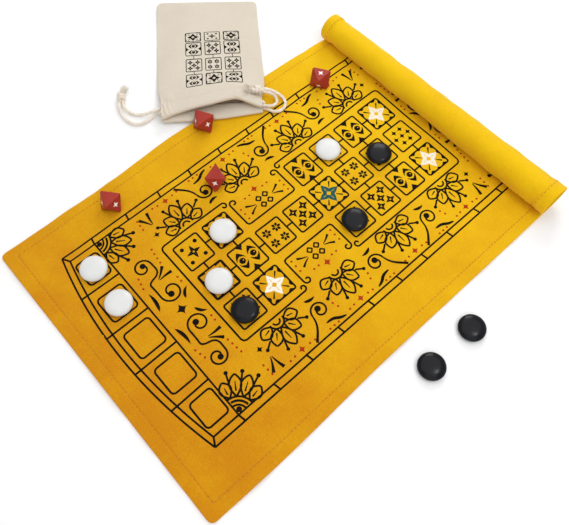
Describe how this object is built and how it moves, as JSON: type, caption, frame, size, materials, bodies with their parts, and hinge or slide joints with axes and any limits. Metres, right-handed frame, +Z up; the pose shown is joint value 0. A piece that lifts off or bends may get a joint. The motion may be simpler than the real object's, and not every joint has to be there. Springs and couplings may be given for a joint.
{
  "type": "roll-up cloth game set",
  "caption": "Roll-up cloth race game: printed mustard mat with a rolled end, round stones, eight-sided dice with star marks and a drawstring pouch.",
  "frame": {"origin": "underside of the mat, at the middle of its block of printed squares", "axes": "+X along the mat towards the rolled end, +Y across it towards the pouch, +Z up"},
  "size_m": [0.3911, 0.4523, 0.0308],
  "materials": {
    "mustard_cloth": "matte dyed canvas with dark printed lines",
    "natural_cloth": "matte undyed cotton canvas",
    "natural_cord": "matte twisted cotton",
    "white_gloss": "polished",
    "black_gloss": "polished",
    "red_gloss": "satin",
    "white_ink": "matte paint filling an engraved star"
  },
  "bodies": {
    "mat_flat": {"mat_field": "mustard_cloth"},
    "rolled_end": {"mat_roll": "mustard_cloth"},
    "white_stone_1_body": {"white_stone_1": "white_gloss"},
    "white_stone_2_body": {"white_stone_2": "white_gloss"},
    "white_stone_3_body": {"white_stone_3": "white_gloss"},
    "white_stone_4_body": {"white_stone_4": "white_gloss"},
    "white_stone_5_body": {"white_stone_5": "white_gloss"},
    "black_stone_1_body": {"black_stone_1": "black_gloss"},
    "black_stone_2_body": {"black_stone_2": "black_gloss"},
    "black_stone_3_body": {"black_stone_3": "black_gloss"},
    "black_stone_4_body": {"black_stone_4": "black_gloss"},
    "black_stone_5_body": {"black_stone_5": "black_gloss"},
    "die_1_body": {"die_1": "red_gloss", "die_1_star_marks": "white_ink"},
    "die_2_body": {"die_2": "red_gloss", "die_2_star_marks": "white_ink"},
    "die_3_body": {"die_3": "red_gloss", "die_3_star_marks": "white_ink"},
    "die_4_body": {"die_4": "red_gloss", "die_4_star_marks": "white_ink"},
    "pouch": {"pouch_back_panel": "natural_cloth", "pouch_front_panel": "natural_cloth", "pouch_back_casing": "natural_cloth", "pouch_front_casing": "natural_cloth", "drawcord_left_inside": "natural_cord", "drawcord_right_inside": "natural_cord", "drawcord_left_front_end": "natural_cord", "drawcord_left_back_end": "natural_cord", "drawcord_right_front_end": "natural_cord", "drawcord_right_back_end": "natural_cord", "knot_left": "natural_cord", "knot_right": "natural_cord"}
  },
  "joints": [
    {"name": "roll_turn_up", "type": "hinge", "parent": "mat_flat", "child": "rolled_end", "pos_m": [0.124, 0, 0.0016], "axis": [0, -1, 0], "range_deg": [0, 45]},
    {"name": "white_stone_1_lift", "type": "slide", "parent": "mat_flat", "child": "white_stone_1_body", "axis": [0, 0, 1], "range_m": [0, 0.06]},
    {"name": "white_stone_2_lift", "type": "slide", "parent": "mat_flat", "child": "white_stone_2_body", "axis": [0, 0, 1], "range_m": [0, 0.06]},
    {"name": "white_stone_3_lift", "type": "slide", "parent": "mat_flat", "child": "white_stone_3_body", "axis": [0, 0, 1], "range_m": [0, 0.06]},
    {"name": "white_stone_4_lift", "type": "slide", "parent": "mat_flat", "child": "white_stone_4_body", "axis": [0, 0, 1], "range_m": [0, 0.06]},
    {"name": "white_stone_5_lift", "type": "slide", "parent": "mat_flat", "child": "white_stone_5_body", "axis": [0, 0, 1], "range_m": [0, 0.06]},
    {"name": "black_stone_1_lift", "type": "slide", "parent": "mat_flat", "child": "black_stone_1_body", "axis": [0, 0, 1], "range_m": [0, 0.06]},
    {"name": "black_stone_2_lift", "type": "slide", "parent": "mat_flat", "child": "black_stone_2_body", "axis": [0, 0, 1], "range_m": [0, 0.06]},
    {"name": "black_stone_3_lift", "type": "slide", "parent": "mat_flat", "child": "black_stone_3_body", "axis": [0, 0, 1], "range_m": [0, 0.06]},
    {"name": "black_stone_4_lift", "type": "slide", "parent": "mat_flat", "child": "black_stone_4_body", "axis": [0, 0, 1], "range_m": [0, 0.06]},
    {"name": "black_stone_5_lift", "type": "slide", "parent": "mat_flat", "child": "black_stone_5_body", "axis": [0, 0, 1], "range_m": [0, 0.06]},
    {"name": "die_1_lift", "type": "slide", "parent": "mat_flat", "child": "die_1_body", "axis": [0, 0, 1], "range_m": [0, 0.06]},
    {"name": "die_2_lift", "type": "slide", "parent": "mat_flat", "child": "die_2_body", "axis": [0, 0, 1], "range_m": [0, 0.06]},
    {"name": "die_3_lift", "type": "slide", "parent": "mat_flat", "child": "die_3_body", "axis": [0, 0, 1], "range_m": [0, 0.06]},
    {"name": "die_4_lift", "type": "slide", "parent": "mat_flat", "child": "die_4_body", "axis": [0, 0, 1], "range_m": [0, 0.06]},
    {"name": "pouch_lift", "type": "slide", "parent": "mat_flat", "child": "pouch", "axis": [0, 0, 1], "range_m": [0, 0.06]}
  ]
}
